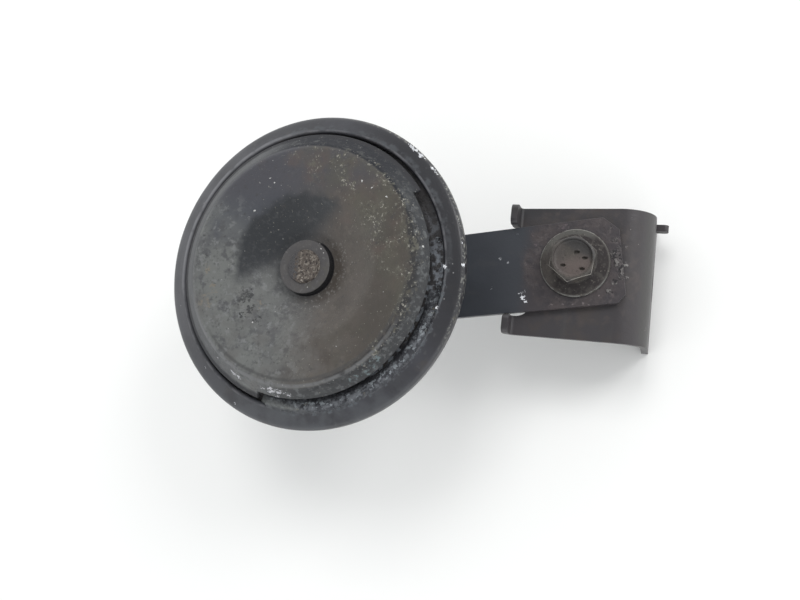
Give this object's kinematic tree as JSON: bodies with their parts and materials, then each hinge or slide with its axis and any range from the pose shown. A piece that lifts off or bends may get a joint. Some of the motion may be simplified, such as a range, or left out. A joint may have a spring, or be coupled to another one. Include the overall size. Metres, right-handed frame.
{
  "type": "car horn",
  "caption": "Electric disc horn with a dished tone disc in a crimped rim, on a steel strap bolted to a folded vehicle bracket with a locating lug.",
  "frame": {"origin": "centre of the bracket's fixing hole, on the outer face of the bracket's leg", "axes": "+X leaves the fixing hole, away from the horn; +Z runs along the horn's own axis, the way the horn faces; +Y completes the right-handed frame"},
  "size_m": [0.1394, 0.09, 0.0666],
  "materials": {
    "rim_paint": "satin black paint, worn along the edges",
    "housing_paint": "semi-matt black paint with dust and a little rust",
    "disc_paint": "thin aged black paint, dusty and stained brown",
    "washer_paint": "aged black paint",
    "stud_steel": "rusty peened steel",
    "strap_paint": "smooth blue-black paint",
    "bracket_paint": "satin black paint, scuffed round the bolt",
    "bolt_coating": "dull olive phosphate coat",
    "nut_steel": "dull zinc with rust in the corners",
    "plain_steel": "turned steel",
    "membrane_steel": "black paint with white corrosion",
    "gasket_fibre": "pressed fibre",
    "bobbin_plastic": "moulded nylon",
    "copper_wire": "enamelled copper winding",
    "spring_bronze": "rolled bronze strip",
    "contact_metal": "tungsten contact face",
    "insulation_board": "brown laminate",
    "rivet_steel": "zinc plated",
    "connector_plastic": "black moulded plastic",
    "seal_rubber": "soft black rubber",
    "blade_brass": "tinned brass"
  },
  "bodies": {
    "housing": {"housing_shell": "housing_paint", "rim_ring": "rim_paint", "rim_gasket": "gasket_fibre", "diaphragm": "membrane_steel", "pole_core": "plain_steel", "coil_bobbin": "bobbin_plastic", "coil_winding": "copper_wire", "contact_spring": "spring_bronze", "moving_contact_tip": "contact_metal", "fixed_contact_tip": "contact_metal", "fixed_contact_arm": "plain_steel", "contact_insulators": "insulation_board", "breaker_rivets": "rivet_steel", "adjusting_screw": "rivet_steel", "connector_socket": "connector_plastic", "connector_seal": "seal_rubber", "connector_rivets": "rivet_steel", "terminal_blades": "blade_brass", "mounting_strap": "strap_paint", "lock_washer": "nut_steel", "stud_nut": "nut_steel", "vehicle_bracket": "bracket_paint", "weld_nut": "nut_steel", "flange_bolt": "bolt_coating"},
    "vibrator": {"armature": "stud_steel", "tone_disc": "disc_paint", "hub_washer": "washer_paint", "disc_spacer": "plain_steel"}
  },
  "joints": [
    {"name": "armature_slide", "type": "slide", "parent": "housing", "child": "vibrator", "axis": [0, 0, 1], "range_m": [-0.0005, 0.0003], "stiffness_N_per_m": 20000, "deforming": ["diaphragm"]}
  ]
}
